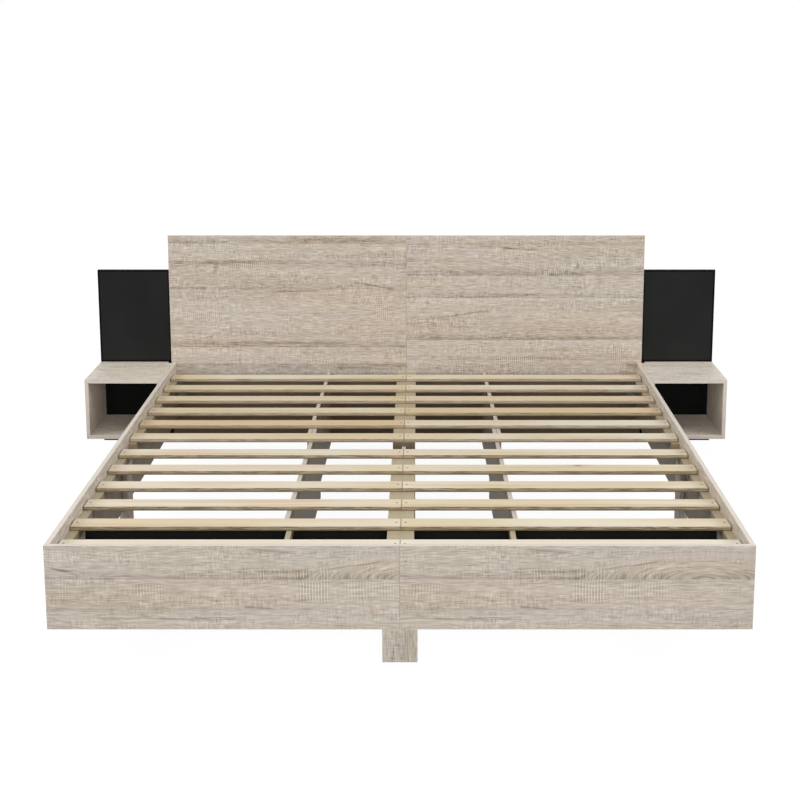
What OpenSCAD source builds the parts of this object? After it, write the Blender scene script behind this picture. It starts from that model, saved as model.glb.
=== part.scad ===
// Low platform bed with a flat headboard, two fixed side panels behind it and
// an open nightstand hung on each panel. All sizes are in millimetres.
// The origin lies on the floor, in the middle of the whole outline.
// +X is the right-hand side seen from the foot, +Y runs from foot to head, +Z is up.

/* [Bed frame] */
// Width over the outer faces of the two side rails
bed_w = 2000; // [1600:10:2200]
// Length from the front face of the footboard to the front face of the headboard
bed_l = 2060; // [1960:10:2200]
// Thickness of every laminated board
board_t = 15; // [13:1:20]
// Height of the underside of the rails above the floor
rail_z = 100; // [70:5:150]
// Height of the side rails and of the footboard
rail_h = 250; // [220:5:300]
// Length of each front side rail, from the footboard to the joint in the rail
front_rail_l = 1065; // [1020:5:1100]
// Chamfer along the edges of the laminated boards
edge = 0.6; // [0.3:0.1:1.2]

/* [Headboard and side panels] */
// Height of the headboard above the floor
headboard_h = 900; // [800:10:1100]
// How far the headboard stands out past each side rail
headboard_over = 5; // [0:1:20]
// Height of the dark side panels above the floor
panel_h = 750; // [600:10:790]
// Width of the overlap of a side panel behind the headboard
panel_lap = 200; // [120:10:300]
// Width of the batten that joins the two headboard halves at the back
batten_w = 100; // [80:5:160]
// Distance from the top of the headboard down to the top of that batten
batten_drop = 50; // [20:5:200]

/* [Nightstands] */
// Width of a nightstand, from the side rail to its outer face
stand_w = 310; // [260:5:420]
// Depth of a nightstand, from its open front to the side panel
stand_d = 300; // [220:5:400]
// Outside height of a nightstand
stand_h = 250; // [200:5:400]
// Gap between the edge of the headboard and the notch that a nightstand has for it
stand_gap = 15; // [5:1:40]
// How far that notch reaches in front of the headboard
stand_notch = 8; // [3:1:20]

/* [Slats] */
// Width of a slat
slat_w = 66; // [50:1:80]
// Thickness of a slat
slat_t = 14; // [12:1:18]
// Radius of a slat's long edges
slat_round = 1.5; // [0.5:0.1:3]
// Height from the top of the slats to the top of the rails
slat_drop = 30; // [20:1:60]
// Gap between a slat's outer end and the side rail
slat_end_gap = 3; // [1:0.5:6]
// Gap between the footboard and the first slat
foot_gap = 43; // [20:1:120]
// Gap between the last slat and the headboard
head_gap = 87; // [10:1:120]
// Distance from the slat in front of the rail joint to that joint
joint_gap_front = 116; // [60:1:140]
// Distance from the rail joint to the slat behind it
joint_gap_rear = 3; // [2:1:90]

/* [Ledgers and centre beam] */
// Width of the ledger strips under the slat ends
ledger_w = 28; // [20:1:40]
// Height of the ledger strips
ledger_h = 30; // [24:1:40]
// Distance that the front ledgers stop short of the rail joint
ledger_stop = 85; // [40:1:110]
// How far the rear ledgers reach past the rail joint
ledger_lap = 12; // [0:1:20]
// Width of the flat board under the slats along the bed's centre
centre_w = 80; // [70:2:120]
// Width of the leg under the joint of the footboard
foot_leg_w = 100; // [80:5:160]
// Height of the underside of the centre spine above the floor
spine_z = 100; // [60:5:150]

/* [Boards under the bed] */
// Distance from the bed's centre to each support board at its foot end
support_x = 340; // [250:2:450]
// Width of the short strips between the footboard and the plinth
nose_w = 16; // [12:1:30]
// How far the front support boards reach behind the rail joint
support_front_past = 280; // [200:5:320]
// Where the rear support boards start behind the rail joint
support_rear_from = 100; // [80:5:150]
// Distance from the footboard to the dark plinth boards
plinth_setback = 285; // [240:5:400]
// Length of a side leg along the rail
side_leg_l = 90; // [60:5:120]
// Distance from the back of a side leg to the rail joint
side_leg_back = 35; // [34:1:60]

/* [Fasteners] */
// Diameter of a wood screw's shank
screw_d = 4; // [3:0.5:5]
// Diameter of a screw's countersunk head
screw_head_d = 8; // [6:0.5:9]
// Height of a screw's countersunk head
screw_head_h = 2.2; // [1.6:0.1:3]
// Length of a slat screw
slat_screw_l = 27; // [20:1:28]
// Distance from a slat's outer end to its screw
slat_screw_end = 14; // [8:1:18]
// Distance from the centre joint to a slat's inner screw
slat_screw_mid = 14; // [10:1:20]
// Number of screws in each row up a side panel or the batten
rear_screws = 4; // [2:1:6]
// Height of the lowest screw in the backs of the headboard and panels
rear_screw_low = 90; // [60:5:120]
// Distance from the top of a panel or batten to its highest rear screw
rear_screw_top = 90; // [60:5:120]
// Distance from a nightstand's sides, front and notch to the screws that hold it
stand_screw_inset = 60; // [40:5:90]
// Number of screws that hold each ledger to its side rail
ledger_screws = 4; // [2:1:6]
// Distance from a ledger's end to its first screw
ledger_screw_end = 30; // [20:1:40]
// How deep a screw bites into the board behind the one it holds
screw_bite = 11; // [8:1:12]
// How deep a nightstand screw runs into the edge of a board
edge_bite = 35; // [25:1:50]
// Clearance of a screw in its hole
screw_clear = 0.15; // [0.1:0.05:0.3]
// Diameter of a nightstand dowel
dowel_d = 8; // [6:1:8]
// Depth of a dowel in the end of an upright board
dowel_in_side = 20; // [15:1:30]
// Depth of a dowel in the face of the top or bottom board
dowel_in_face = 10; // [6:1:11]
// Distance from a nightstand's front and back to its dowels
dowel_inset = 50; // [30:5:60]
// Clearance of a dowel in its hole
dowel_clear = 0.1; // [0.05:0.05:0.2]

/* [Steel brackets] */
// Thickness of the steel
steel_t = 2.5; // [2:0.5:4]
// Width of one flange of a corner bracket
bracket_w = 40; // [30:1:50]
// Height of the corner brackets and of the joint plates
bracket_h = 90; // [70:5:120]
// Length of a joint plate along the rail
plate_l = 64; // [56:2:68]
// Gap between the ledgers and the corner brackets
bracket_drop = 12; // [2:1:20]
// Gap between the ledgers and the joint plates
plate_drop = 4; // [2:1:20]

/* [Hidden] */
// Play left between boards that meet end to end or edge to edge
seam = 0.4;
// Rows of slats in the front half and again in the rear half
rows = 6;
side_names = ["left", "right"];
corner_fn = 32;
hole_fn = 32;

// Heights
batten_h = headboard_h - batten_drop;
rail_top = rail_z + rail_h;
slat_top = rail_top - slat_drop;
slat_z = slat_top - slat_t;
ledger_z = slat_z - ledger_h;
centre_z = slat_z - board_t;
bracket_z = ledger_z - bracket_h - bracket_drop;
plate_z = ledger_z - bracket_h - plate_drop;

// Places across the bed, all for one half and measured from the centre
rail_in = bed_w / 2 - board_t;
head_half = bed_w / 2 + headboard_over;
stand_in = bed_w / 2 + seam;
stand_out = bed_w / 2 + stand_w;
notch_out = head_half + stand_gap;
slat_out = rail_in - slat_end_gap;
ledger_in = rail_in - ledger_w;

// Places along the bed, measured from the footboard's front face
foot_in = board_t;
joint_y = foot_in + front_rail_l;
head_back = bed_l + board_t;
total_d = head_back + board_t;
stand_front = head_back - stand_d;
notch_y = bed_l - stand_notch;
plinth_y = foot_in + plinth_setback;
support_front_y = [plinth_y + board_t, joint_y + support_front_past];
support_rear_y = [joint_y + support_rear_from, bed_l];
// All support boards are turned by this angle, so that where the two lengths
// overlap the front one lies along the inner face of the rear one
support_turn = atan((board_t + seam) / (support_rear_y[0] - support_front_y[0]));
front_first = foot_in + foot_gap;
front_last = joint_y - joint_gap_front - slat_w;
rear_first = joint_y + joint_gap_rear;
rear_last = bed_l - head_gap - slat_w;
front_pitch = (front_last - front_first) / (rows - 1);
rear_pitch = (rear_last - rear_first) / (rows - 1);
// Row 1 lies at the head and the last row at the foot
function row_y(i) = i <= rows
    ? rear_last - (i - 1) * rear_pitch
    : front_last - (i - rows - 1) * front_pitch;
leg_y = joint_y - side_leg_back - side_leg_l;
mid_leg_y = rear_first;

// Length of a screw that goes through a board and bites into the next one
function through(bite) = board_t + bite;
// n values spread evenly from a to b
function spread(a, b, n) = [for (k = [0 : n - 1]) a + k * (b - a) / (n - 1)];
panel_screw_x = head_half - panel_lap / 2;
panel_screw_z = spread(rear_screw_low, panel_h - rear_screw_top, rear_screws);
batten_screw_x = batten_w / 4;
batten_screw_z = spread(rear_screw_low, batten_h - rear_screw_top, rear_screws);
foot_screw_x = foot_leg_w / 4;
foot_screw_z = concat(rail_z / 2, spread(rail_z + 2 * board_t, centre_z - 2 * board_t, 3));
stand_screw_z = [rail_z + board_t / 2, rail_z + stand_h - board_t / 2];
stand_screw_x = [stand_in + stand_screw_inset, stand_out - stand_screw_inset];
stand_rail_y = [stand_front + stand_screw_inset, notch_y - stand_screw_inset];
stand_rail_z = [rail_z + rail_h / 4, ledger_z - 2 * board_t];
dowel_in_y = [stand_front + dowel_inset, notch_y - dowel_inset];
dowel_out_y = [stand_front + dowel_inset, head_back - dowel_inset];
ledger_screw_z = ledger_z + ledger_h / 3;
function ledger_span(rear) = rear
    ? [joint_y - ledger_lap, bed_l]
    : [foot_in, joint_y - ledger_stop];
function ledger_screw_y(rear) =
    let (s = ledger_span(rear))
    spread(s[0] + ledger_screw_end, s[1] - ledger_screw_end, ledger_screws);
leg_screw_y = leg_y + side_leg_l / 2;
leg_screw_z = concat(rail_z / 2, spread(rail_z + 2 * board_t, ledger_z - 2 * board_t, 2));
bracket_screw_z = [bracket_z + bracket_h / 4, bracket_z + bracket_h * 3 / 4];
bracket_screw_out = bracket_w * 0.6;
plate_screw_y = plate_l / 4;
plate_screw_z = [plate_z + bracket_h / 4, plate_z + bracket_h * 3 / 4];

oak = [0.75, 0.70, 0.64];
pine = [0.87, 0.80, 0.68];
dark = [0.13, 0.13, 0.13];
steel = [0.55, 0.56, 0.58];
beech = [0.82, 0.70, 0.52];

function two_digits(n) = n < 10 ? str("0", n) : str(n);
function slat_name(s, i) = str("slat_", side_names[s], "_", two_digits(i));

// ---- shared shapes ----

// The working frame has y = 0 at the footboard's front face
module placed() {
    translate([0, -total_d / 2, 0]) children();
}

// Builds for the right-hand side; side 0 is its mirror image on the left
module on_side(s) {
    if (s == 0) mirror([1, 0, 0]) children();
    else children();
}

// A rectangle with its four corners cut off
module cut_corner_rect(a, b) {
    polygon([
        [edge, 0], [a - edge, 0], [a, edge], [a, b - edge],
        [a - edge, b], [edge, b], [0, b - edge], [0, edge]
    ]);
}

// A board between two corners, with all its edges chamfered
module board(low, high) {
    size = high - low;
    translate(low) intersection() {
        linear_extrude(size[2]) cut_corner_rect(size[0], size[1]);
        translate([0, size[1], 0]) rotate([90, 0, 0])
            linear_extrude(size[1]) cut_corner_rect(size[0], size[2]);
        rotate([90, 0, 90])
            linear_extrude(size[0]) cut_corner_rect(size[1], size[2]);
    }
}

// A rectangle with round corners, from squares and circles
module round_rect(a, b, r) {
    translate([r, 0]) square([a - 2 * r, b]);
    translate([0, r]) square([a, b - 2 * r]);
    for (x = [r, a - r], y = [r, b - r])
        translate([x, y]) circle(r, $fn = corner_fn);
}

// A strip along X with round long edges
module strip_x(low, high, r) {
    size = high - low;
    translate(low) rotate([90, 0, 90])
        linear_extrude(size[0]) round_rect(size[1], size[2], r);
}

// A countersunk screw that points down, with the top of its head at the origin
module screw(length, grow = 0) {
    point = screw_d;
    r = screw_d / 2 + grow;
    head_r = screw_head_d / 2 + grow;
    translate([0, 0, -screw_head_h]) cylinder(screw_head_h, r, head_r, $fn = hole_fn);
    translate([0, 0, -(length - point)]) cylinder(length - point, r, r, $fn = hole_fn);
    translate([0, 0, -length]) cylinder(point, grow, r, $fn = hole_fn);
}

// The hole for that screw, open at the board's face
module screw_hole(length) {
    screw(length + screw_clear, screw_clear);
}

// Turns something that points down so that it points along another axis
module pointing(way) {
    if (way == "-y") rotate([-90, 0, 0]) children();
    if (way == "+y") rotate([90, 0, 0]) children();
    if (way == "-x") rotate([0, 90, 0]) children();
    if (way == "+x") rotate([0, -90, 0]) children();
}

// ---- places of the fasteners ----

// Children go to the heads of both screws of one slat half, on the right
module slat_screw_places(i) {
    for (x = [slat_screw_mid, slat_out - slat_screw_end])
        translate([x, row_y(i) + slat_w / 2, slat_top]) children();
}

// Screws from the back of a side panel into the headboard, on the right
module panel_screw_places() {
    for (z = panel_screw_z)
        translate([panel_screw_x, total_d, z]) pointing("-y") children();
}

// Screws from the back of the batten into the headboard half on the right
module batten_screw_places() {
    for (z = batten_screw_z)
        translate([batten_screw_x, total_d, z]) pointing("-y") children();
}

// Screws from the back of a side panel into the nightstand, on the right
module stand_screw_places() {
    for (x = stand_screw_x, z = stand_screw_z)
        translate([x, total_d, z]) pointing("-y") children();
}

// Screws through the rear side rail into the nightstand's inner side, on the right
module stand_rail_screw_places() {
    for (y = stand_rail_y, z = stand_rail_z)
        translate([rail_in, y, z]) pointing("+x") children();
}

// Screws from the back of the foot leg into its block and the footboard, on the right
module foot_screw_places() {
    for (z = foot_screw_z)
        translate([foot_screw_x, foot_in + board_t, z]) pointing("-y") children();
}

// Screws through a ledger into the side rail, on the right
module ledger_screw_places(rear) {
    for (y = ledger_screw_y(rear))
        translate([ledger_in, y, ledger_screw_z])
            pointing("+x") children();
}

// Screws through a side leg into the block under the rail and into the rail
module leg_screw_places() {
    for (z = leg_screw_z)
        translate([rail_in - board_t, leg_screw_y, z]) pointing("+x") children();
}

// Screws of one corner bracket: two into the rail, two into the end board
module bracket_screw_places(head_end) {
    y = head_end ? bed_l : foot_in;
    way = head_end ? -1 : 1;
    for (z = bracket_screw_z) {
        translate([rail_in - steel_t, y + way * bracket_screw_out, z])
            pointing("+x") children();
        translate([rail_in - bracket_screw_out, y + way * steel_t, z])
            pointing(head_end ? "+y" : "-y") children();
    }
}

// Screws of one joint plate into the two rails, on the right
module plate_screw_places() {
    for (y = [-plate_screw_y, plate_screw_y], z = plate_screw_z)
        translate([rail_in - steel_t, joint_y + y, z]) pointing("+x") children();
}

// Dowels between one upright board and the top and bottom boards, on the right
module dowel_row(x, y_places) {
    for (y = y_places) {
        translate([x, y, rail_z + board_t]) children();
        translate([x, y, rail_z + stand_h - board_t]) mirror([0, 0, 1]) children();
    }
}

module dowel_places() {
    dowel_row(stand_in + board_t / 2, dowel_in_y) children();
    dowel_row(stand_out - board_t / 2, dowel_out_y) children();
}

// A dowel or its hole; it reaches down into a face and up into an upright board
module dowel(grow = 0) {
    translate([0, 0, -dowel_in_face - grow])
        cylinder(dowel_in_face + dowel_in_side + 2 * grow, d = dowel_d + 2 * grow, $fn = hole_fn);
}

// ---- headboard, panels and footboard ----

module headboard_half(s) {
    color(oak) placed() on_side(s) difference() {
        board([seam / 2, bed_l, 0], [head_half, head_back, headboard_h]);
        panel_screw_places() screw_hole(through(screw_bite));
        batten_screw_places() screw_hole(through(screw_bite));
        bracket_screw_places(true) screw_hole(steel_t + screw_bite);
    }
}

module headboard_batten() {
    color(dark) placed() difference() {
        board([-batten_w / 2, head_back, 0], [batten_w / 2, total_d, batten_h]);
        for (s = [0, 1]) on_side(s) batten_screw_places() screw_hole(through(screw_bite));
    }
}

module back_panel(s) {
    low = [head_half - panel_lap, head_back, 0];
    color(dark) placed() on_side(s) difference() {
        board(low, [stand_out, total_d, panel_h]);
        panel_screw_places() screw_hole(through(screw_bite));
        stand_screw_places() screw_hole(through(edge_bite));
    }
}

module footboard_half(s) {
    color(oak) placed() on_side(s) difference() {
        board([seam / 2, 0, rail_z], [bed_w / 2, foot_in, rail_top]);
        foot_screw_places() screw_hole(through(screw_bite));
        bracket_screw_places(false) screw_hole(steel_t + screw_bite);
    }
}

// ---- side rails ----

module side_rail(s, rear) {
    y = rear ? [joint_y + seam / 2, bed_l] : [foot_in, joint_y - seam / 2];
    color(oak) placed() on_side(s) difference() {
        board([rail_in, y[0], rail_z], [bed_w / 2, y[1], rail_top]);
        ledger_screw_places(rear) screw_hole(ledger_w + screw_bite);
        bracket_screw_places(rear) screw_hole(steel_t + screw_bite);
        plate_screw_places() screw_hole(steel_t + screw_bite);
        if (rear) stand_rail_screw_places() screw_hole(through(screw_bite));
        else leg_screw_places() screw_hole(through(screw_bite));
    }
}

// ---- nightstands ----

// A top or bottom board, with the notch for the headboard's edge in its back corner
module stand_level(s, z) {
    notch = [notch_out - stand_in, head_back - notch_y, board_t];
    color(oak) placed() on_side(s) difference() {
        board([stand_in, stand_front, z], [stand_out, head_back, z + board_t]);
        translate([stand_in - edge, notch_y, z - edge])
            cube(notch + [edge, edge, 2 * edge]);
        dowel_places() dowel(dowel_clear);
        stand_screw_places() screw_hole(through(edge_bite));
    }
}

module stand_upright(s, x, y_end) {
    low = rail_z + board_t;
    color(oak) placed() on_side(s) difference() {
        board([x, stand_front, low], [x + board_t, y_end, rail_z + stand_h - board_t]);
        dowel_places() dowel(dowel_clear);
        stand_rail_screw_places() screw_hole(through(screw_bite));
    }
}

module nightstand_top(s) stand_level(s, rail_z + stand_h - board_t);
module nightstand_bottom(s) stand_level(s, rail_z);
module nightstand_outer_side(s) stand_upright(s, stand_out - board_t, head_back);
module nightstand_inner_side(s) stand_upright(s, stand_in, notch_y);

module nightstand_dowels() {
    color(beech) placed()
        for (s = [0, 1]) on_side(s) dowel_places() dowel();
}

// ---- slats and what they rest on ----

module slat(s, i) {
    y = row_y(i);
    color(pine) placed() on_side(s) difference() {
        strip_x([seam / 2, y, slat_z], [slat_out, y + slat_w, slat_top], slat_round);
        slat_screw_places(i) screw_hole(slat_screw_l);
    }
}

module rail_ledger(rear) {
    span = ledger_span(rear);
    difference() {
        board([ledger_in, span[0], ledger_z], [rail_in, span[1], slat_z]);
        ledger_screw_places(rear) screw_hole(ledger_w + screw_bite);
        for (i = [1 : 2 * rows]) slat_screw_places(i) screw_hole(slat_screw_l);
    }
}

// The short strip runs from the footboard to the plinth
module nose_strip() {
    out = support_x - seam;
    board([out - nose_w, foot_in, ledger_z], [out, plinth_y, slat_z]);
}

module ledger_strips() {
    color(pine) placed() for (s = [0, 1]) on_side(s) {
        rail_ledger(false);
        rail_ledger(true);
        nose_strip();
    }
}

module centre_board(y0, y1) {
    color(pine) placed() difference() {
        board([-centre_w / 2, y0, centre_z], [centre_w / 2, y1, slat_z]);
        for (s = [0, 1], i = [1 : 2 * rows])
            on_side(s) slat_screw_places(i) screw_hole(slat_screw_l);
    }
}

module centre_board_front() centre_board(foot_in, joint_y - ledger_stop);
module centre_board_rear() centre_board(mid_leg_y + board_t, bed_l);

module centre_spine() {
    color(oak) placed() {
        board([-board_t / 2, foot_in + board_t, spine_z], [board_t / 2, mid_leg_y, centre_z]);
        board([-board_t / 2, mid_leg_y + board_t, spine_z], [board_t / 2, bed_l, centre_z]);
    }
}

// ---- boards and legs under the bed ----

// The front board starts behind the plinth and ends beside the rear board, which
// ends at the headboard. Both y values are ends along the bed
module support_board(s, y) {
    length = (y[1] - y[0] - board_t * sin(support_turn)) / cos(support_turn);
    color(oak) placed() on_side(s)
        translate([support_x, y[0], 0]) rotate(support_turn)
            board([0, 0, 0], [board_t, length, slat_z]);
}

module support_board_front(s) support_board(s, support_front_y);
module support_board_rear(s) support_board(s, support_rear_y);

// The plinth carries the centre board and ends at the ledgers
module plinth_boards() {
    low = [board_t / 2 + seam / 2, plinth_y, 0];
    color(dark) placed()
        for (s = [0, 1]) on_side(s)
            board(low, [ledger_in - seam, plinth_y + board_t, centre_z]);
}

// A leg board behind the footboard, with a block under the footboard
module centre_foot_leg() {
    x = foot_leg_w / 2;
    color(oak) placed() difference() {
        union() {
            board([-x, foot_in, 0], [x, foot_in + board_t, centre_z]);
            board([-x, 0, 0], [x, foot_in - seam / 2, rail_z]);
        }
        for (s = [0, 1]) on_side(s) foot_screw_places() screw_hole(through(screw_bite));
    }
}

module centre_mid_leg() {
    color(oak) placed()
        board([-centre_w / 2, mid_leg_y, 0], [centre_w / 2, mid_leg_y + board_t, slat_z]);
}

// A leg board inside the rail, with a block under the rail
module side_leg(s) {
    y = [leg_y, leg_y + side_leg_l];
    color(oak) placed() on_side(s) difference() {
        union() {
            board([rail_in - board_t, y[0], 0], [rail_in, y[1], ledger_z]);
            board([rail_in + seam / 2, y[0], 0], [bed_w / 2, y[1], rail_z]);
        }
        leg_screw_places() screw_hole(through(screw_bite));
    }
}

// ---- metal ----

module corner_bracket(head_end) {
    y = head_end ? bed_l : foot_in;
    way = head_end ? -1 : 1;
    difference() {
        translate([0, 0, bracket_z]) linear_extrude(bracket_h) polygon([
            [rail_in, y],
            [rail_in, y + way * bracket_w],
            [rail_in - steel_t, y + way * bracket_w],
            [rail_in - steel_t, y + way * steel_t],
            [rail_in - bracket_w, y + way * steel_t],
            [rail_in - bracket_w, y]
        ]);
        bracket_screw_places(head_end) screw_hole(steel_t + screw_bite);
    }
}

module joint_plate() {
    difference() {
        translate([rail_in - steel_t, joint_y - plate_l / 2, plate_z])
            cube([steel_t, plate_l, bracket_h]);
        plate_screw_places() screw_hole(steel_t + screw_bite);
    }
}

module steel_brackets() {
    color(steel) placed()
        for (s = [0, 1]) on_side(s) {
            corner_bracket(true);
            corner_bracket(false);
            joint_plate();
        }
}

module slat_screws() {
    color(steel) placed()
        for (s = [0, 1], i = [1 : 2 * rows])
            on_side(s) slat_screw_places(i) screw(slat_screw_l);
}

module frame_screws() {
    color(steel) placed()
        for (s = [0, 1]) on_side(s) {
            panel_screw_places() screw(through(screw_bite));
            batten_screw_places() screw(through(screw_bite));
            stand_screw_places() screw(through(edge_bite));
            stand_rail_screw_places() screw(through(screw_bite));
            foot_screw_places() screw(through(screw_bite));
            leg_screw_places() screw(through(screw_bite));
            plate_screw_places() screw(steel_t + screw_bite);
            for (end = [false, true]) {
                ledger_screw_places(end) screw(ledger_w + screw_bite);
                bracket_screw_places(end) screw(steel_t + screw_bite);
            }
        }
}

// ---- the parts, one at a time or all together ----

headboard_half(0);  // headboard_left
headboard_half(1);  // headboard_right
headboard_batten();
back_panel(0);  // back_panel_left
back_panel(1);  // back_panel_right
footboard_half(0);  // footboard_left
footboard_half(1);  // footboard_right
side_rail(0, false);  // side_rail_left_front
side_rail(0, true);  // side_rail_left_rear
side_rail(1, false);  // side_rail_right_front
side_rail(1, true);  // side_rail_right_rear
nightstand_top(0);  // nightstand_left_top
nightstand_bottom(0);  // nightstand_left_bottom
nightstand_outer_side(0);  // nightstand_left_outer_side
nightstand_inner_side(0);  // nightstand_left_inner_side
nightstand_top(1);  // nightstand_right_top
nightstand_bottom(1);  // nightstand_right_bottom
nightstand_outer_side(1);  // nightstand_right_outer_side
nightstand_inner_side(1);  // nightstand_right_inner_side
for (s = [0, 1], i = [1 : 2 * rows])
    slat(s, i);
ledger_strips();
centre_board_front();
centre_board_rear();
centre_spine();
support_board_front(0);  // support_board_left_front
support_board_rear(0);  // support_board_left_rear
support_board_front(1);  // support_board_right_front
support_board_rear(1);  // support_board_right_rear
plinth_boards();
centre_foot_leg();
centre_mid_leg();
side_leg(0);  // side_leg_left
side_leg(1);  // side_leg_right
steel_brackets();
slat_screws();
frame_screws();
nightstand_dowels();
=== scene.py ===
"""The finish, light and camera of a low platform bed with a flat headboard and two open nightstands.

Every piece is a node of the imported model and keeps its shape. Lengths are metres, in the
model's frame: +X to the right seen from the foot, +Y from foot to head, +Z up, floor at 0.
"""
import math
import random

import bpy
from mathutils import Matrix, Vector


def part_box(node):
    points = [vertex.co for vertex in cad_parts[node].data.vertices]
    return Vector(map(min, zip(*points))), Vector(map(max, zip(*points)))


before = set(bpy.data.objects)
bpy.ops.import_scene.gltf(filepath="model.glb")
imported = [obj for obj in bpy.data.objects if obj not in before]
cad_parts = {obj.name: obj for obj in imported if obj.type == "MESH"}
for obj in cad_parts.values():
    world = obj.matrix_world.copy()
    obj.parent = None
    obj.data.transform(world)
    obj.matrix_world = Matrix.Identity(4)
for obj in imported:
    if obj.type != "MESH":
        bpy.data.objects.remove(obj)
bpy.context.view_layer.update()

# ---- camera: close to the photograph's own place, and pitched down a little ----
CAMERA_AT = (0.056, -4.700, 1.817)
CAMERA_PITCH = math.radians(10.0)
CAMERA_LENS = 61.88
CAMERA_SENSOR = 36.0
CAMERA_SHIFT = (-0.0245, -0.179)

# ---- floor and light ----
WHITE = (1.0, 1.0, 1.0, 1.0)
# The background as a light on the object, and as it is seen
WORLD_STRENGTH = 0.22
BACKGROUND_STRENGTH = 1.0
FLOOR_SIZE = 60.0
# How pale the floor is for the light that it throws back, and where it is seen
FLOOR_BOUNCE = 0.14
FLOOR_SEEN = 0.93
# Where it is seen it is part matt and part glow: the glow's strength, and its share near the bed
FLOOR_GLOW_STRENGTH = 1.06
FLOOR_GLOW = 0.89
# Between these distances from the bed's middle the floor turns to plain glow, and so to white
FLOOR_FADE = (2.6, 7.0)
TOP_LIGHT = {"at": (0.0, -0.5, 5.2), "aim": (0.0, 0.1, 0.3), "size": (5.0, 4.0), "watts": 57.0}
FRONT_LIGHT = {"at": (0.0, -6.2, 2.2), "aim": (0.0, 0.1, 0.3), "size": (5.0, 2.4), "watts": 262.0}
LEFT_LIGHT = {"at": (-5.2, -0.8, 3.2), "aim": (0.0, 0.1, 0.3), "size": (3.0, 2.4), "watts": 150.0}
RIGHT_LIGHT = {"at": (5.2, -0.8, 3.2), "aim": (0.0, 0.1, 0.3), "size": (3.0, 2.4), "watts": 150.0}
BACK_LIGHT = {"at": (0.0, 6.0, 3.0), "aim": (0.0, 0.5, 0.4), "size": (5.0, 2.4), "watts": 120.0}

# ---- print of the laminate ----
# The footboard's print repeats after this length
PRINT_REPEAT = 0.779
# Joints of the printed planks: height of the joint, how far the brown shade reaches
# from it (up is positive), and how strong the shade is
HEAD_LEFT_JOINTS = [(0.865, 0.030, 0.45), (0.794, -0.050, 0.35), (0.668, 0.020, 0.30),
                    (0.417, 0.040, 0.55), (0.346, -0.050, 0.45)]
HEAD_RIGHT_JOINTS = [(0.728, 0.045, 0.45), (0.632, 0.030, 0.50), (0.449, 0.036, 0.50),
                     (0.860, 0.018, 0.30), (0.362, 0.025, 0.35)]
FOOT_JOINTS = [(0.250, 0.032, 0.48), (0.158, 0.012, 0.16)]
RAIL_JOINTS = [(0.268, 0.030, 0.7), (0.172, -0.030, 0.6)]
# Dark streaks of the print: middle along and across, half length, half height, how much
# they rise along the board, and how strong they are
HEAD_LEFT_STREAKS = [(-0.283, 0.880, 0.277, 0.014, 0.0, 0.55), (-0.753, 0.786, 0.190, 0.010, 0.0, 0.75),
                     (-0.804, 0.765, 0.014, 0.032, 0.9, 0.60), (-0.145, 0.684, 0.117, 0.006, -0.18, 0.75),
                     (-0.450, 0.662, 0.150, 0.007, 0.06, 0.50), (-0.520, 0.434, 0.400, 0.011, 0.0, 0.55),
                     (-0.198, 0.330, 0.171, 0.013, 0.0, 0.60), (-0.277, 0.330, 0.013, 0.020, 0.9, 0.60)]
HEAD_RIGHT_STREAKS = [(0.720, 0.762, 0.012, 0.022, 0.9, 0.60), (0.677, 0.736, 0.107, 0.009, 0.0, 0.70),
                      (0.330, 0.645, 0.327, 0.010, 0.0, 0.60), (0.837, 0.457, 0.117, 0.008, 0.0, 0.60),
                      (0.230, 0.560, 0.140, 0.006, 0.15, 0.50), (0.965, 0.335, 0.032, 0.021, 0.0, 0.60),
                      (0.420, 0.846, 0.180, 0.006, -0.05, 0.45)]
FOOT_STREAKS = [(-0.330, 0.272, 0.130, 0.006, 0.0, 0.52), (-0.938, 0.270, 0.064, 0.006, -0.27, 0.70),
                (-0.395, 0.164, 0.056, 0.004, 0.0, 0.66), (-0.355, 0.333, 0.075, 0.007, -0.05, 0.38),
                (-0.640, 0.132, 0.260, 0.006, 0.0, 0.45), (-0.130, 0.292, 0.110, 0.005, 0.16, 0.55)]
# Patches of saw marks: middle along and across, half length, half height and strength
HEAD_LEFT_SAWN = [(-0.872, 0.556, 0.096, 0.023, 0.9), (-0.104, 0.569, 0.034, 0.030, 0.8),
                  (-0.660, 0.775, 0.100, 0.018, 0.7), (-0.190, 0.325, 0.110, 0.018, 0.7)]
HEAD_RIGHT_SAWN = [(0.474, 0.359, 0.117, 0.026, 0.9), (0.640, 0.742, 0.070, 0.016, 0.7),
                   (0.905, 0.380, 0.030, 0.040, 0.8)]
FOOT_SAWN = [(-0.242, 0.212, 0.050, 0.038, 1.0), (-0.084, 0.220, 0.085, 0.030, 0.55),
             (-0.945, 0.218, 0.018, 0.028, 0.60), (-0.705, 0.218, 0.056, 0.028, 0.55),
             (-0.389, 0.264, 0.014, 0.022, 0.90), (-0.214, 0.264, 0.014, 0.026, 0.90),
             (-0.300, 0.266, 0.060, 0.014, 0.50)]
# The flame figure of the footboard: the middle of its nested arcs along and across the print,
# how much longer than high they are, how high the figure reaches, and half the width over
# which it sets in at its lower edge
FIGURE_ALONG = 0.086
FIGURE_HEIGHT = 0.250
FIGURE_STRETCH = 4.2
FIGURE_REACH = 0.088
FIGURE_SOFT = 0.0005
# How far streaks and patches of saw marks are moved up and down, from lowest to highest
RAGGED = 0.016
# Half the width over which the brown shade sets in at a printed joint
PRINT_SOFT = 0.0006
# Saw marks: the angle of their wave over a metre, in radians, and how far the lines stray
SAW_WAVE = 740.0
SAW_STRAY = 0.004


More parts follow.
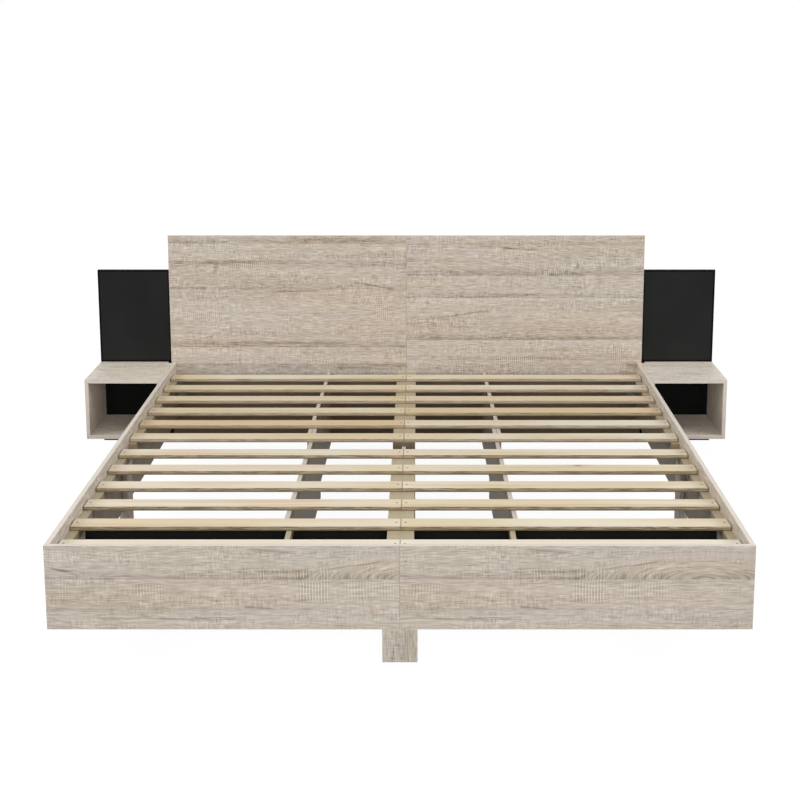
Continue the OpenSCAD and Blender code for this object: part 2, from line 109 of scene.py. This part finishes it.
def srgb(red, green, blue):
    """A colour given as 0 to 255 values, in Blender's linear scale with an alpha of 1."""
    def linear(value):
        share = value / 255
        return share / 12.92 if share <= 0.04045 else ((share + 0.055) / 1.055) ** 2.4

    return (linear(red), linear(green), linear(blue), 1.0)


# ---- a short way to write node trees ----
class Num:
    """A number in a node tree. Arithmetic on it adds Math nodes."""

    def __init__(self, graph, socket):
        self.graph = graph
        self.socket = socket

    def math(self, operation, *others):
        """A Math node of that operation, with this number as its first input."""
        made = self.graph.node("Math", operation=operation)
        for place, value in enumerate((self, *others)):
            self.graph.feed(made.inputs[place], value)
        return Num(self.graph, made.outputs[0])

    def __add__(self, other):
        return self.math("ADD", other)

    def __sub__(self, other):
        return self.math("SUBTRACT", other)

    def __mul__(self, other):
        return self.math("MULTIPLY", other)

    def __abs__(self):
        return self.math("ABSOLUTE")

    def least(self, other):
        return self.math("MINIMUM", other)

    def most(self, other):
        return self.math("MAXIMUM", other)

    def smooth(self, start, end):
        """0 at start, 1 at end, with a soft step between; start may be the larger one."""
        low, high = min(start, end), max(start, end)
        made = self.graph.node("MapRange", interpolation_type="SMOOTHSTEP")
        self.graph.feed(made.inputs["Value"], self)
        made.inputs["From Min"].default_value = low
        made.inputs["From Max"].default_value = high
        made.inputs["To Min"].default_value = 0.0 if start < end else 1.0
        made.inputs["To Max"].default_value = 1.0 if start < end else 0.0
        return Num(self.graph, made.outputs["Result"])


class Graph:
    """A node tree with short calls for the nodes that the finishes use."""

    def __init__(self, tree):
        self.tree = tree

    def node(self, kind, **settings):
        """A new shader node; kind is its type without the leading ShaderNode."""
        made = self.tree.nodes.new("ShaderNode" + kind)
        for name, value in settings.items():
            setattr(made, name, value)
        return made

    def feed(self, socket, value):
        """Links an output to the socket, or sets a plain number or colour on it."""
        if isinstance(value, Num):
            value = value.socket
        if isinstance(value, bpy.types.NodeSocket):
            self.tree.links.new(value, socket)
        else:
            socket.default_value = value

    def vector(self, x, y, z):
        made = self.node("CombineXYZ")
        for place, value in enumerate((x, y, z)):
            self.feed(made.inputs[place], value)
        return made.outputs[0]

    def parts(self, vector):
        """The three parts of a vector or colour, as numbers named x, y and z."""
        made = self.node("SeparateXYZ")
        self.feed(made.inputs[0], vector)
        return {axis: Num(self, made.outputs[place]) for place, axis in enumerate("xyz")}

    def noise(self, x, y, z, detail=2.0, roughness=0.5):
        """Noise about 0.5, one wave to a unit: a place comes in times its waves to the metre."""
        made = self.node("TexNoise")
        self.feed(made.inputs["Vector"], self.vector(x, y, z))
        made.inputs["Scale"].default_value = 1.0
        made.inputs["Detail"].default_value = detail
        made.inputs["Roughness"].default_value = roughness
        return Num(self, made.outputs[0])

    def mix(self, share, first, second):
        """first where share is 0, second where it is 1."""
        made = self.node("Mix", data_type="RGBA")
        self.feed(made.inputs[0], share)
        self.feed(made.inputs[6], first)
        self.feed(made.inputs[7], second)
        return made.outputs[2]

    def bump(self, height, strength, distance):
        """A surface normal that shows height as relief, distance metres deep."""
        made = self.node("Bump")
        made.inputs["Strength"].default_value = strength
        made.inputs["Distance"].default_value = distance
        self.feed(made.inputs["Height"], height)
        return made.outputs["Normal"]


def new_group(name, numbers, outputs):
    """A node group with number inputs; returns it, its graph and its inputs by name."""
    group = bpy.data.node_groups.new(name, "ShaderNodeTree")
    for label in numbers:
        group.interface.new_socket(label, in_out="INPUT", socket_type="NodeSocketFloat")
    for label, kind in outputs.items():
        group.interface.new_socket(label, in_out="OUTPUT", socket_type=kind)
    graph = Graph(group)
    entry = group.nodes.new("NodeGroupInput")
    inputs = {label: Num(graph, entry.outputs[label]) for label in numbers}
    return group, graph, inputs


def close_group(group, results):
    """Links the results to the group's outputs of the same names."""
    leave = group.nodes.new("NodeGroupOutput")
    for label, value in results.items():
        Graph(group).feed(leave.inputs[label], value)


def new_material(name, roughness, specular=0.5, metallic=0.0):
    """A material with its graph, its shader and its object-space place and normal."""
    material = bpy.data.materials.new(name)
    material.use_nodes = True
    material.node_tree.nodes.clear()
    graph = Graph(material.node_tree)
    shader = graph.node("BsdfPrincipled")
    shader.inputs["Roughness"].default_value = roughness
    shader.inputs["Specular IOR Level"].default_value = specular
    shader.inputs["Metallic"].default_value = metallic
    output = graph.node("OutputMaterial")
    graph.feed(output.inputs["Surface"], shader.outputs[0])
    coordinates = graph.node("TexCoord")
    place = graph.parts(coordinates.outputs["Object"])
    normal = graph.parts(coordinates.outputs["Normal"])
    return material, graph, shader, place, normal


def use_group(graph, group, **values):
    """The group as a node with those inputs; an underscore in a name stands for a space."""
    made = graph.node("Group", node_tree=group)
    for label, value in values.items():
        graph.feed(made.inputs[label.replace("_", " ")], value)
    return made


# ---- oak laminate ----
# Greyer and browner stretches of the print, each with its light and its dark colour
OAK_GREY = (srgb(222, 213, 202), srgb(136, 122, 107))
OAK_TAN = (srgb(221, 209, 194), srgb(136, 118, 99))
OAK_EDGE = srgb(213, 205, 194)
# Painted shade: the brown of the boards under the slats, and of the faces that look in there
OAK_PAINTED_SHADE = srgb(98, 82, 56)
# The share of the painted brown shade, and of the edge band's colour, that a face takes at most
OAK_PAINTED_SHADE_SHARE = 0.9
OAK_EDGE_SHARE = 0.72
# Where the board lies between dark (0) and light (1), and how far each part of the print moves it
OAK_LEVEL = 0.61
OAK_COARSE = 0.85
OAK_FINE = 1.42
OAK_TICKS = 1.2
OAK_SHADE = 0.64
OAK_SAWN = 0.48
# Strength and depth of the relief
OAK_RELIEF = (0.18, 0.0008)
# The footboard's print is lighter and softer than the headboard's; rails and nightstands
# are lighter too, painted light against the shade they get, and the flat boards of the
# nightstands have a bolder print
FOOT_LEVEL = 0.03
FOOT_CONTRAST = 0.82
RAIL_LEVEL = 0.12
STAND_LEVEL = 0.30
STAND_CONTRAST = 1.5
# The leg under the footboard is a little darker, and the side legs partly take the painted brown shade
FOOT_LEG_LEVEL = -0.06
SIDE_LEG_PAINTED_SHADE = 0.45
# The top of the slats, and how far below it the inner faces turn brown with painted shade
DECK_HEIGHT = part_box("slat_left_01")[1].z
DECK_FADE = (0.012, 0.045)
# Half the width of the step between a frame board's outer half and its inner half
HALF_STEP = 0.001


def make_oak_group():
    """The print of sawn oak, from places along, across and into the board, and the painted shade of
    hidden boards.
    """
    labels = ["along", "across", "into", "level", "contrast", "shade", "sawn", "figure",
              "figure share", "hidden", "edge"]
    outputs = {"colour": "NodeSocketColor", "height": "NodeSocketFloat"}
    group, g, given = new_group("oak_print", labels, outputs)
    along, across, into = given["along"], given["across"], given["into"]

    # Grain lines wander gently up and down as they run along the board
    wander = (g.noise(along * 1.5, across * 6.0, into * 6.0) - 0.5) * 0.040
    bent = across + wander
    # Round the flame figure they follow its arcs instead
    turn = given["figure share"]
    line = bent * (turn * -1.0 + 1.0) + given["figure"] * turn

    # Long streaks of every width, short dashes, and fine ticks across the grain
    coarse = g.noise(along * 1.1 + 5.0, line * 30.0, into * 30.0, detail=4.0, roughness=0.85)
    fine = g.noise(along * 20.0, line * 270.0, into * 270.0, detail=1.0, roughness=1.0)
    ticks = g.noise(along * 230.0, across * 34.0, into * 34.0, detail=1.0, roughness=1.0)
    ticked = g.noise(along * 5.0 + 30.0, line * 24.0, into * 24.0).smooth(0.35, 0.65)
    ticks = (ticks - 0.5) * ticked
    value = (coarse - 0.5) * OAK_COARSE + (fine - 0.5) * OAK_FINE + ticks * OAK_TICKS
    value = value * given["contrast"] + given["level"]

    # Brown shade beside the printed joints and along the streaks, broken up by the grain
    patchy = g.noise(along * 2.3 + 11.0, line * 60.0, into, detail=3.0).smooth(0.25, 0.58)
    value = value - given["shade"] * (patchy * 0.7 + 0.3) * OAK_SHADE

    # Saw marks: pale lines square to the grain
    stray = g.noise(along * 9.0, across * 30.0, into, detail=1.0) * SAW_STRAY
    tooth = (along + stray) * SAW_WAVE
    lines = tooth.math("SINE").smooth(-0.2, 0.95) - 0.35
    sawn = lines * given["sawn"]
    value = value + sawn * OAK_SAWN

    # Greyer and browner stretches
    warm = g.noise(along * 1.1 + 20.0, line * 13.0, into * 13.0, detail=3.0).smooth(0.38, 0.62)
    light = g.mix(warm, OAK_GREY[0], OAK_TAN[0])
    shadow = g.mix(warm, OAK_GREY[1], OAK_TAN[1])
    colour = g.mix(value, shadow, light)
    # Painted shade on the boards under the slats and on the faces that look in there
    colour = g.mix(given["hidden"] * OAK_PAINTED_SHADE_SHARE, colour, OAK_PAINTED_SHADE)
    # The narrow faces carry a paler edge band
    colour = g.mix(given["edge"] * OAK_EDGE_SHARE, colour, OAK_EDGE)
    height = fine * 0.5 + coarse * 0.2 + ticks * 0.2 + sawn * 0.35
    close_group(group, {"colour": colour, "height": height})
    return group


OAK_GROUP = make_oak_group()


def joint_shade(graph, across, joints):
    """How brown the board is at this place because of the printed joints."""
    total = across * 0.0
    for place, reach, strength in joints:
        offset = across - place
        beyond = offset if reach > 0 else offset * -1.0
        shade = beyond.smooth(abs(reach), 0.0) * beyond.smooth(-PRINT_SOFT, PRINT_SOFT)
        total = total.most(shade * strength)
    return total


def streak_shade(along, across, streaks):
    """How dark the board is at this place because of the printed streaks."""
    total = across * 0.0
    for middle, height, reach, half, rise, strength in streaks:
        offset = abs(across - height - (along - middle) * rise)
        shade = offset.smooth(half, half * 0.3) * abs(along - middle).smooth(reach, reach * 0.5)
        total = total.most(shade * strength)
    return total


def sawn_share(along, across, patches):
    """How strong the saw marks are at this place."""
    total = across * 0.0
    for middle, height, reach, half, strength in patches:
        share = abs(across - height).smooth(half, half * 0.6)
        share = share * abs(along - middle).smooth(reach, reach * 0.7)
        total = total.most(share * strength)
    return total


def inner_shade(node, into, place):
    """Painted shade: 1 on the face of a frame board that looks at the space under the slats, from a
    little below their top, else 0.
    """
    low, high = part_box(node)
    middle = abs(getattr(low, into) + getattr(high, into)) / 2
    inward = abs(place[into]).smooth(middle + HALF_STEP, middle - HALF_STEP)
    start, end = (DECK_HEIGHT - depth for depth in DECK_FADE)
    return inward * place["z"].smooth(start, end)


def oak(name, along, across, into, joints=(), streaks=(), sawn=(), shift=0.0, start=0.0,
        level=0.0, contrast=1.0, figure=False, hidden=0.0):
    """Oak laminate on the node of that name; its grain runs along one axis, and into is its
    thickness. shift moves the whole print along the board, start picks another stretch of
    the grain alone, so that no two boards look alike, level makes it lighter and contrast
    sets the print off more. hidden is the share of the painted brown shade, or "inside" for a
    frame board that has it on its inner face alone."""
    material, g, shader, place, normal = new_material("oak_" + name, roughness=0.55, specular=0.20)
    run = place[along] + shift
    height = place[across]
    ragged = (g.noise(run * 9.0, height * 45.0, start) - 0.5) * RAGGED
    shade = joint_shade(g, height, joints)
    shade = shade.most(streak_shade(run, height + ragged, streaks))
    values = {
        "along": run + start,
        "across": height,
        "into": place[into],
        "level": OAK_LEVEL + level,
        "contrast": contrast,
        "shade": shade,
        "sawn": sawn_share(run, height + ragged, sawn),
        "hidden": inner_shade(name, into, place) if hidden == "inside" else hidden,
        "edge": abs(normal[into]).smooth(0.8, 0.4),
    }
    if figure:
        sideways = (run - FIGURE_ALONG) * (1.0 / FIGURE_STRETCH)
        upward = height - FIGURE_HEIGHT
        distance = (sideways * sideways + upward * upward).math("SQRT")
        above = upward.smooth(-FIGURE_SOFT, FIGURE_SOFT)
        values["figure"] = distance
        values["figure_share"] = distance.smooth(FIGURE_REACH, FIGURE_REACH * 0.62) * above
    print_node = use_group(g, OAK_GROUP, **values)
    g.feed(shader.inputs["Base Color"], print_node.outputs["colour"])
    g.feed(shader.inputs["Normal"], g.bump(print_node.outputs["height"], *OAK_RELIEF))
    return material


# ---- pine ----
# The planed faces: two tones that drift into each other, warmer and rosier wood, a paler
# cut, the darker rings and fibres, and the knots
PINE_CREAM = srgb(220, 210, 190)
PINE_STRAW = srgb(211, 196, 165)
PINE_HONEY = srgb(206, 179, 140)
PINE_ROSE = srgb(214, 193, 169)
PINE_PALE = srgb(232, 226, 214)
PINE_RING = srgb(180, 155, 116)
PINE_KNOT = srgb(128, 94, 60)
# The sawn ends and long sides of a lath, the sides darker partly for their sawing and partly
# by painted shade, and its rim of painted shade
PINE_END = srgb(152, 130, 98)
PINE_SIDE = srgb(124, 110, 84)
PINE_RIM_SHADE = srgb(112, 94, 66)
# Painted shade on the laths that lie under the slats
PINE_PAINTED_SHADE = srgb(160, 148, 122)
# Painted shade of the rim: how far it reaches from a sawn end, and up from the lower edge of
# a side; how dark it is at either place
END_RIM = 0.0028
LOW_RIM = (0.0060, 0.0015)
END_RIM_SHARE = 0.60
LOW_RIM_SHARE = 0.70
PINE_RELIEF = (0.22, 0.0008)
# The slats of the front half have sides darkened by more painted shade; row 1 lies at the head
LAST_REAR_ROW = 6
FRONT_SIDE_SHADE = 1.45
# Slats whose warmth or paleness is set by name, and the warmth of the others at most
WARM_SLATS = {"slat_left_05": 0.75, "slat_right_04": 0.70, "slat_left_06": 0.25,
              "slat_left_03": 0.20, "slat_right_11": 0.05}
PALE_SLATS = {"slat_left_12": 0.60, "slat_right_12": 0.60, "slat_right_05": 0.25}
USUAL_WARMTH = 0.16
# The start of the random draws for the slats, and the range of a slat's own seed
SLAT_DRAWS = 7
SEED_RANGE = 60.0


def make_pine_group():
    """Planed pine, from places along, across and into the lath; seed sets each lath apart. It also
    darkens laths under the slats, sides and rims with painted shade.
    """
    labels = ["along", "across", "into", "seed", "warmth", "pale", "hidden", "side", "end", "rim"]
    outputs = {"colour": "NodeSocketColor", "height": "NodeSocketFloat"}
    group, g, given = new_group("planed_pine", labels, outputs)
    along, across, into, seed = (given[key] for key in ("along", "across", "into", "seed"))

    # The grain wanders a little; along it run rings, fine fibres and drifts of colour
    wander = (g.noise(along * 2.0, across * 5.0 + seed, seed) - 0.5) * 0.030
    line = across + wander
    ring = g.noise(along * 0.9, line * 60.0 + seed, into * 60.0)
    fibre = g.noise(along * 14.0, line * 420.0, into * 420.0 + seed, detail=3.0, roughness=0.6)
    drift = g.noise(along * 1.6 + seed, line * 6.0, seed * 2.0)

    colour = g.mix(drift.smooth(0.38, 0.64), PINE_CREAM, PINE_STRAW)
    rose = g.noise(along * 2.2 + seed * 3.0, line * 8.0, seed, detail=1.0)
    colour = g.mix(rose.smooth(0.50, 0.68) * 0.65, colour, PINE_ROSE)
    colour = g.mix(given["warmth"], colour, PINE_HONEY)
    colour = g.mix(ring.smooth(0.50, 0.70) * 0.34, colour, PINE_RING)
    colour = g.mix(fibre.smooth(0.54, 0.78) * 0.28, colour, PINE_RING)

    # A knot here and there, oval along the lath
    cells = g.node("TexVoronoi", feature="F1")
    cells.inputs["Scale"].default_value = 1.0
    g.feed(cells.inputs["Vector"], g.vector(along * 3.1 + seed, across * 9.0 + seed, seed))
    rare = g.parts(cells.outputs["Color"])["x"].smooth(0.80, 0.82)
    distance = Num(g, cells.outputs["Distance"])
    colour = g.mix(distance.smooth(0.20, 0.06) * rare * 0.40, colour, PINE_RING)
    colour = g.mix(distance.smooth(0.07, 0.03) * rare * 0.85, colour, PINE_KNOT)

    # A paler cut, the painted shade below the slats, the sawn faces, darker partly for their
    # sawing and partly by painted shade, and the rim of painted shade
    colour = g.mix(given["pale"], colour, PINE_PALE)
    colour = g.mix(given["hidden"] * 0.8, colour, PINE_PAINTED_SHADE)
    streaky = fibre.smooth(0.40, 0.62) * 0.4 + 0.35
    colour = g.mix(given["side"] * streaky, colour, PINE_SIDE)
    colour = g.mix(given["end"] * 0.75, colour, PINE_END)
    colour = g.mix(given["rim"], colour, PINE_RIM_SHADE)
    close_group(group, {"colour": colour, "height": fibre * 0.6 + ring * 0.4})
    return group


PINE_GROUP = make_pine_group()


def lath_rim_shade(node, place, side):
    """Painted shade: how dark the lath is beside its sawn ends and along the lower edge of its sides."""
    low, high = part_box(node)
    end = (place["x"] - low.x).least(place["x"] * -1.0 + high.x).smooth(END_RIM, END_RIM * 0.3)
    bottom = (place["z"] - low.z).smooth(*LOW_RIM) * side
    return (end * END_RIM_SHARE).most(bottom * LOW_RIM_SHARE)


def pine(name, along, across, into, seed, warmth=0.0, pale=0.0, hidden=0.0, sawn_side_and_shade=1.0):
    """Pine on a lath; seed sets it apart, hidden is how far it has the painted shade below the
    slats, and the last argument how dark its long sides are, for their sawing and by painted shade."""
    material, g, shader, place, normal = new_material("pine_" + name, roughness=0.62, specular=0.18)
    side = abs(normal[across]).smooth(0.6, 0.9) * sawn_side_and_shade
    values = {
        "along": place[along],
        "across": place[across],
        "into": place[into],
        "seed": seed,
        "warmth": warmth,
        "pale": pale,
        "hidden": hidden,
        "side": side,
        "end": abs(normal[along]).smooth(0.5, 0.9),
        "rim": 0.0 if hidden else lath_rim_shade(name, place, side),
    }
    wood = use_group(g, PINE_GROUP, **values)
    g.feed(shader.inputs["Base Color"], wood.outputs["colour"])
    g.feed(shader.inputs["Normal"], g.bump(wood.outputs["height"], *PINE_RELIEF))
    return material


# ---- dark laminate ----
DARK = srgb(31, 31, 31)
DARK_LIGHTER = srgb(37, 37, 37)
# The black of the painted shade round the panels and on them behind the open nightstands
DARK_PAINTED_SHADE = srgb(4, 4, 4)
# Painted shade: how far the blacker lines reach, the height over which a panel turns blacker
# below the nightstand's top, and how black it gets there
SHADE_LINE_REACH = 0.010
BELOW_FADE = 0.004
BELOW_SHARE = 0.8
# Between these distances from a panel's back the painted shade sets in; the back stays plain
OFF_BACK = (0.002, 0.006)
DARK_RELIEF = (0.10, 0.0004)


def dark(name, shade_lines=None):
    """Fine-textured black laminate on the node of that name. The lines it is given are the
    places, along x and along z, of blacker lines of painted shade round the part of the panel
    that shows; below the first of those along z its front is darkened by painted shade too."""
    material, g, shader, place, _ = new_material("dark_" + name, roughness=0.50, specular=0.05)
    grain = g.noise(place["x"] * 900.0, place["y"] * 900.0, place["z"] * 900.0)
    cloud = g.noise(place["x"] * 3.0, place["y"] * 3.0, place["z"] * 3.0, detail=3.0)
    colour = g.mix(cloud.smooth(0.35, 0.65), DARK, DARK_LIGHTER)
    colour = g.mix(grain.smooth(0.55, 0.75) * 0.35, colour, DARK_LIGHTER)
    # Painted shade round the part that shows and below the nightstand's top
    if shade_lines:
        upright, level = shade_lines
        rim = abs(place["x"] - upright[0])
        for line in upright[1:]:
            rim = rim.least(abs(place["x"] - line))
        for line in level:
            rim = rim.least(abs(place["z"] - line))
        below = place["z"].smooth(level[0], level[0] - BELOW_FADE)
        blacker = rim.smooth(SHADE_LINE_REACH, SHADE_LINE_REACH * 0.6).most(below * BELOW_SHARE)
        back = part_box(name)[1].y
        front = place["y"].smooth(back - OFF_BACK[0], back - OFF_BACK[1])
        colour = g.mix(blacker * front, colour, DARK_PAINTED_SHADE)
    g.feed(shader.inputs["Base Color"], colour)
    g.feed(shader.inputs["Normal"], g.bump(grain, *DARK_RELIEF))
    return material


# ---- metal and dowels ----
# Each plating: its two tones, and the colour of its bloom
ZINC = (srgb(104, 103, 99), srgb(124, 122, 118), srgb(78, 77, 73))
YELLOW_ZINC = (srgb(132, 112, 80), srgb(156, 136, 102), srgb(92, 76, 52))
STEEL_RELIEF = (0.08, 0.0003)
BEECH = (srgb(210, 180, 140), srgb(182, 146, 104))
BEECH_RELIEF = (0.2, 0.0003)


def steel(name, plating=ZINC):
    """Plated steel, with fine spangle and a darker bloom."""
    material, g, shader, place, _ = new_material("steel_" + name, roughness=0.50, metallic=1.0)
    spangle = g.noise(place["x"] * 260.0, place["y"] * 260.0, place["z"] * 260.0, detail=3.0)
    bloom = g.noise(place["x"] * 30.0, place["y"] * 30.0, place["z"] * 30.0)
    colour = g.mix(spangle.smooth(0.35, 0.65), plating[0], plating[1])
    colour = g.mix(bloom.smooth(0.50, 0.75) * 0.5, colour, plating[2])
    g.feed(shader.inputs["Base Color"], colour)
    g.feed(shader.inputs["Normal"], g.bump(spangle, *STEEL_RELIEF))
    return material


def beech():
    """Turned beech with darker flecks."""
    material, g, shader, place, _ = new_material("beech_dowel", roughness=0.55)
    fleck = g.noise(place["x"] * 500.0, place["y"] * 500.0, place["z"] * 60.0)
    colour = g.mix(fleck.smooth(0.40, 0.65), *BEECH)
    g.feed(shader.inputs["Base Color"], colour)
    g.feed(shader.inputs["Normal"], g.bump(fleck, *BEECH_RELIEF))
    return material


# ---- which finish goes on which piece ----
def finish(node, material):
    """Puts the material on a node in place of its own."""
    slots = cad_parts[node].data.materials
    slots.clear()
    slots.append(material)


def finish_oak(node, along, across, into, **look):
    """Oak laminate on a node; the axes and the look are those of oak()."""
    finish(node, oak(node, along, across, into, **look))


def finish_head_and_foot():
    """Headboard and footboard; the footboard's right half shows the left half's print again."""
    left = {"joints": HEAD_LEFT_JOINTS, "streaks": HEAD_LEFT_STREAKS, "sawn": HEAD_LEFT_SAWN}
    right = {"joints": HEAD_RIGHT_JOINTS, "streaks": HEAD_RIGHT_STREAKS, "sawn": HEAD_RIGHT_SAWN}
    foot = {"joints": FOOT_JOINTS, "streaks": FOOT_STREAKS, "sawn": FOOT_SAWN, "figure": True,
            "level": FOOT_LEVEL, "contrast": FOOT_CONTRAST}
    # Painted shade on the inner faces below the slats
    finish_oak("headboard_left", "x", "z", "y", hidden="inside", **left)
    finish_oak("headboard_right", "x", "z", "y", start=6.2, hidden="inside", **right)
    finish_oak("footboard_left", "x", "z", "y", hidden="inside", **foot)
    finish_oak("footboard_right", "x", "z", "y", shift=-PRINT_REPEAT, hidden="inside", **foot)


def finish_frame_boards(side, step):
    """Rails, support boards and the side leg of one side, each with its own start of the grain."""
    for turn, end in enumerate(("front", "rear")):
        start = 2.3 + 3.1 * step + 1.7 * turn
        rail = f"side_rail_{side}_{end}"
        finish_oak(rail, "y", "z", "x", joints=RAIL_JOINTS, start=start, level=RAIL_LEVEL,
                   hidden="inside")
        board = f"support_board_{side}_{end}"
        # The support boards under the slats take the full painted shade
        finish_oak(board, "y", "z", "x", start=start + 8.0, hidden=1.0)
    start = 14.0 + 3.0 * step
    finish_oak(f"side_leg_{side}", "z", "y", "x", start=start, hidden=SIDE_LEG_PAINTED_SHADE)


def finish_nightstand(side, step):
    """The four boards of one nightstand, each with its own start of the grain."""
    for turn, flat in enumerate(("top", "bottom")):
        start = 4.0 + 2.9 * step + 1.3 * turn
        finish_oak(f"nightstand_{side}_{flat}", "x", "y", "z", start=start, level=STAND_LEVEL,
                   contrast=STAND_CONTRAST)
    for turn, upright in enumerate(("outer_side", "inner_side")):
        start = 9.0 + 2.1 * step + 1.1 * turn
        finish_oak(f"nightstand_{side}_{upright}", "z", "y", "x", start=start, level=STAND_LEVEL)


def finish_oak_boards():
    """Every board of oak laminate."""
    finish_head_and_foot()
    for step, side in enumerate(("left", "right")):
        finish_frame_boards(side, step)
        finish_nightstand(side, step)
    finish_oak("centre_foot_leg", "z", "x", "y", start=22.0, level=FOOT_LEG_LEVEL)
    # The spine and the middle leg under the slats take the full painted shade
    finish_oak("centre_spine", "y", "z", "x", start=20.0, hidden=1.0)
    finish_oak("centre_mid_leg", "z", "x", "y", start=24.0, hidden=1.0)


def finish_slats():
    """Each slat half gets its own cut of pine; a few are warmer or paler, as bought laths are."""
    chance = random.Random(SLAT_DRAWS)
    for node in sorted(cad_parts):
        if not node.startswith("slat_") or node == "slat_screws":
            continue
        # Both draws are made for every slat, so that one slat's look leaves the others alone
        usual = chance.uniform(0.0, USUAL_WARMTH)
        seed = chance.uniform(0.0, SEED_RANGE)
        row = int(node[-2:])
        sawn_side_and_shade = FRONT_SIDE_SHADE if row > LAST_REAR_ROW else 1.0
        look = {"warmth": WARM_SLATS.get(node, usual), "pale": PALE_SLATS.get(node, 0.0)}
        finish(node, pine(node, "x", "y", "z", seed, sawn_side_and_shade=sawn_side_and_shade, **look))


def finish_other_wood():
    """The laths under the slats, each with its own seed, and the dowels."""
    for step, node in enumerate(("ledger_strips", "centre_board_front", "centre_board_rear")):
        # The laths under the slats take painted shade
        finish(node, pine(node, "y", "x", "z", seed=71.0 + 5.0 * step, warmth=0.1, hidden=1.0))
    finish("nightstand_dowels", beech())


def finish_dark_boards():
    """The side panels, with black lines of painted shade round the part beside the headboard
    and above the nightstand, and the plain batten and plinth."""
    for side in ("left", "right"):
        node = "back_panel_" + side
        low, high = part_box(node)
        head_low, head_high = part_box("headboard_" + side)
        beside = head_low.x if side == "left" else head_high.x
        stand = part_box(f"nightstand_{side}_top")[1].z
        finish(node, dark(node, shade_lines=((low.x, high.x, beside), (stand, high.z))))
    finish("headboard_batten", dark("headboard_batten"))
    finish("plinth_boards", dark("plinth_boards"))


def finish_metal():
    """Brackets and screws; the slat screws are yellow."""
    finish("steel_brackets", steel("steel_brackets"))
    finish("frame_screws", steel("frame_screws"))
    finish("slat_screws", steel("slat_screws", YELLOW_ZINC))


# ---- studio ----
def background_rays(graph):
    """1 for rays that see the background as it is: from the camera, by gloss or through glass."""
    path = graph.node("LightPath")
    seen = Num(graph, path.outputs["Is Camera Ray"])
    seen = seen.most(Num(graph, path.outputs["Is Glossy Ray"]))
    return seen.most(Num(graph, path.outputs["Is Transmission Ray"]))


def make_world():
    """A white background. As a light on the object it is weaker than it looks."""
    world = bpy.data.worlds.new("studio")
    bpy.context.scene.world = world
    world.use_nodes = True
    world.node_tree.nodes.clear()
    g = Graph(world.node_tree)
    light = g.node("Background")
    light.inputs["Color"].default_value = WHITE
    light.inputs["Strength"].default_value = WORLD_STRENGTH
    white = g.node("Background")
    white.inputs["Color"].default_value = WHITE
    white.inputs["Strength"].default_value = BACKGROUND_STRENGTH
    both = g.node("MixShader")
    g.feed(both.inputs[0], background_rays(g))
    g.feed(both.inputs[1], light.outputs[0])
    g.feed(both.inputs[2], white.outputs[0])
    g.feed(g.node("OutputWorld").inputs["Surface"], both.outputs[0])


def floor_material():
    """Matt and dim for the light that it throws back. Where it is seen it is pale and glows,
    so that it comes near to white and still shows the object's shadow."""
    material = bpy.data.materials.new("floor")
    material.use_nodes = True
    material.node_tree.nodes.clear()
    g = Graph(material.node_tree)
    seen = background_rays(g)
    matt = g.node("BsdfDiffuse")
    dim = (FLOOR_BOUNCE, FLOOR_BOUNCE, FLOOR_BOUNCE, 1.0)
    pale = (FLOOR_SEEN, FLOOR_SEEN, FLOOR_SEEN, 1.0)
    g.feed(matt.inputs["Color"], g.mix(seen, dim, pale))
    glow = g.node("Emission")
    glow.inputs["Strength"].default_value = FLOOR_GLOW_STRENGTH
    place = g.parts(g.node("TexCoord").outputs["Object"])
    distance = (place["x"] * place["x"] + place["y"] * place["y"]).math("SQRT")
    share = distance.smooth(*FLOOR_FADE) * (1.0 - FLOOR_GLOW) + FLOOR_GLOW
    both = g.node("MixShader")
    g.feed(both.inputs[0], seen * share)
    g.feed(both.inputs[1], matt.outputs[0])
    g.feed(both.inputs[2], glow.outputs[0])
    g.feed(g.node("OutputMaterial").inputs["Surface"], both.outputs[0])
    return material


def make_floor():
    """A large plain floor at height 0, which isn't part of the object."""
    half = FLOOR_SIZE / 2
    corners = [(-half, -half, 0), (half, -half, 0), (half, half, 0), (-half, half, 0)]
    mesh = bpy.data.meshes.new("floor")
    mesh.from_pydata(corners, [], [(0, 1, 2, 3)])
    mesh.materials.append(floor_material())
    floor = bpy.data.objects.new("floor", mesh)
    bpy.context.scene.collection.objects.link(floor)


def aim(thing, target):
    """Turns a lamp at its place so that it points at the target."""
    way = [t - a for t, a in zip(target, thing.location)]
    flat = math.hypot(way[0], way[1])
    turn = math.atan2(way[0], -way[1])
    thing.rotation_euler = (math.atan2(flat, -way[2]), 0.0, turn + math.pi)


def make_lamp(name, lamp):
    """A soft rectangular lamp; lamp holds its place, its aim, its size and its watts."""
    data = bpy.data.lights.new(name, "AREA")
    data.shape = "RECTANGLE"
    data.size, data.size_y = lamp["size"]
    data.energy = lamp["watts"]
    made = bpy.data.objects.new(name, data)
    made.location = lamp["at"]
    aim(made, lamp["aim"])
    bpy.context.scene.collection.objects.link(made)


def make_camera():
    """The camera looks towards the head, pitched down a little; its shift frames the bed."""
    data = bpy.data.cameras.new("camera")
    data.sensor_width = CAMERA_SENSOR
    data.lens = CAMERA_LENS
    data.shift_x, data.shift_y = CAMERA_SHIFT
    camera = bpy.data.objects.new("camera", data)
    camera.location = CAMERA_AT
    camera.rotation_euler = (math.pi / 2 - CAMERA_PITCH, 0.0, 0.0)
    bpy.context.scene.collection.objects.link(camera)
    bpy.context.scene.camera = camera


make_camera()
finish_oak_boards()
finish_slats()
finish_other_wood()
finish_dark_boards()
finish_metal()
make_world()
make_floor()
make_lamp("top_light", TOP_LIGHT)
make_lamp("front_light", FRONT_LIGHT)
make_lamp("left_light", LEFT_LIGHT)
make_lamp("right_light", RIGHT_LIGHT)
make_lamp("back_light", BACK_LIGHT)
bpy.context.scene.view_settings.view_transform = "Standard"
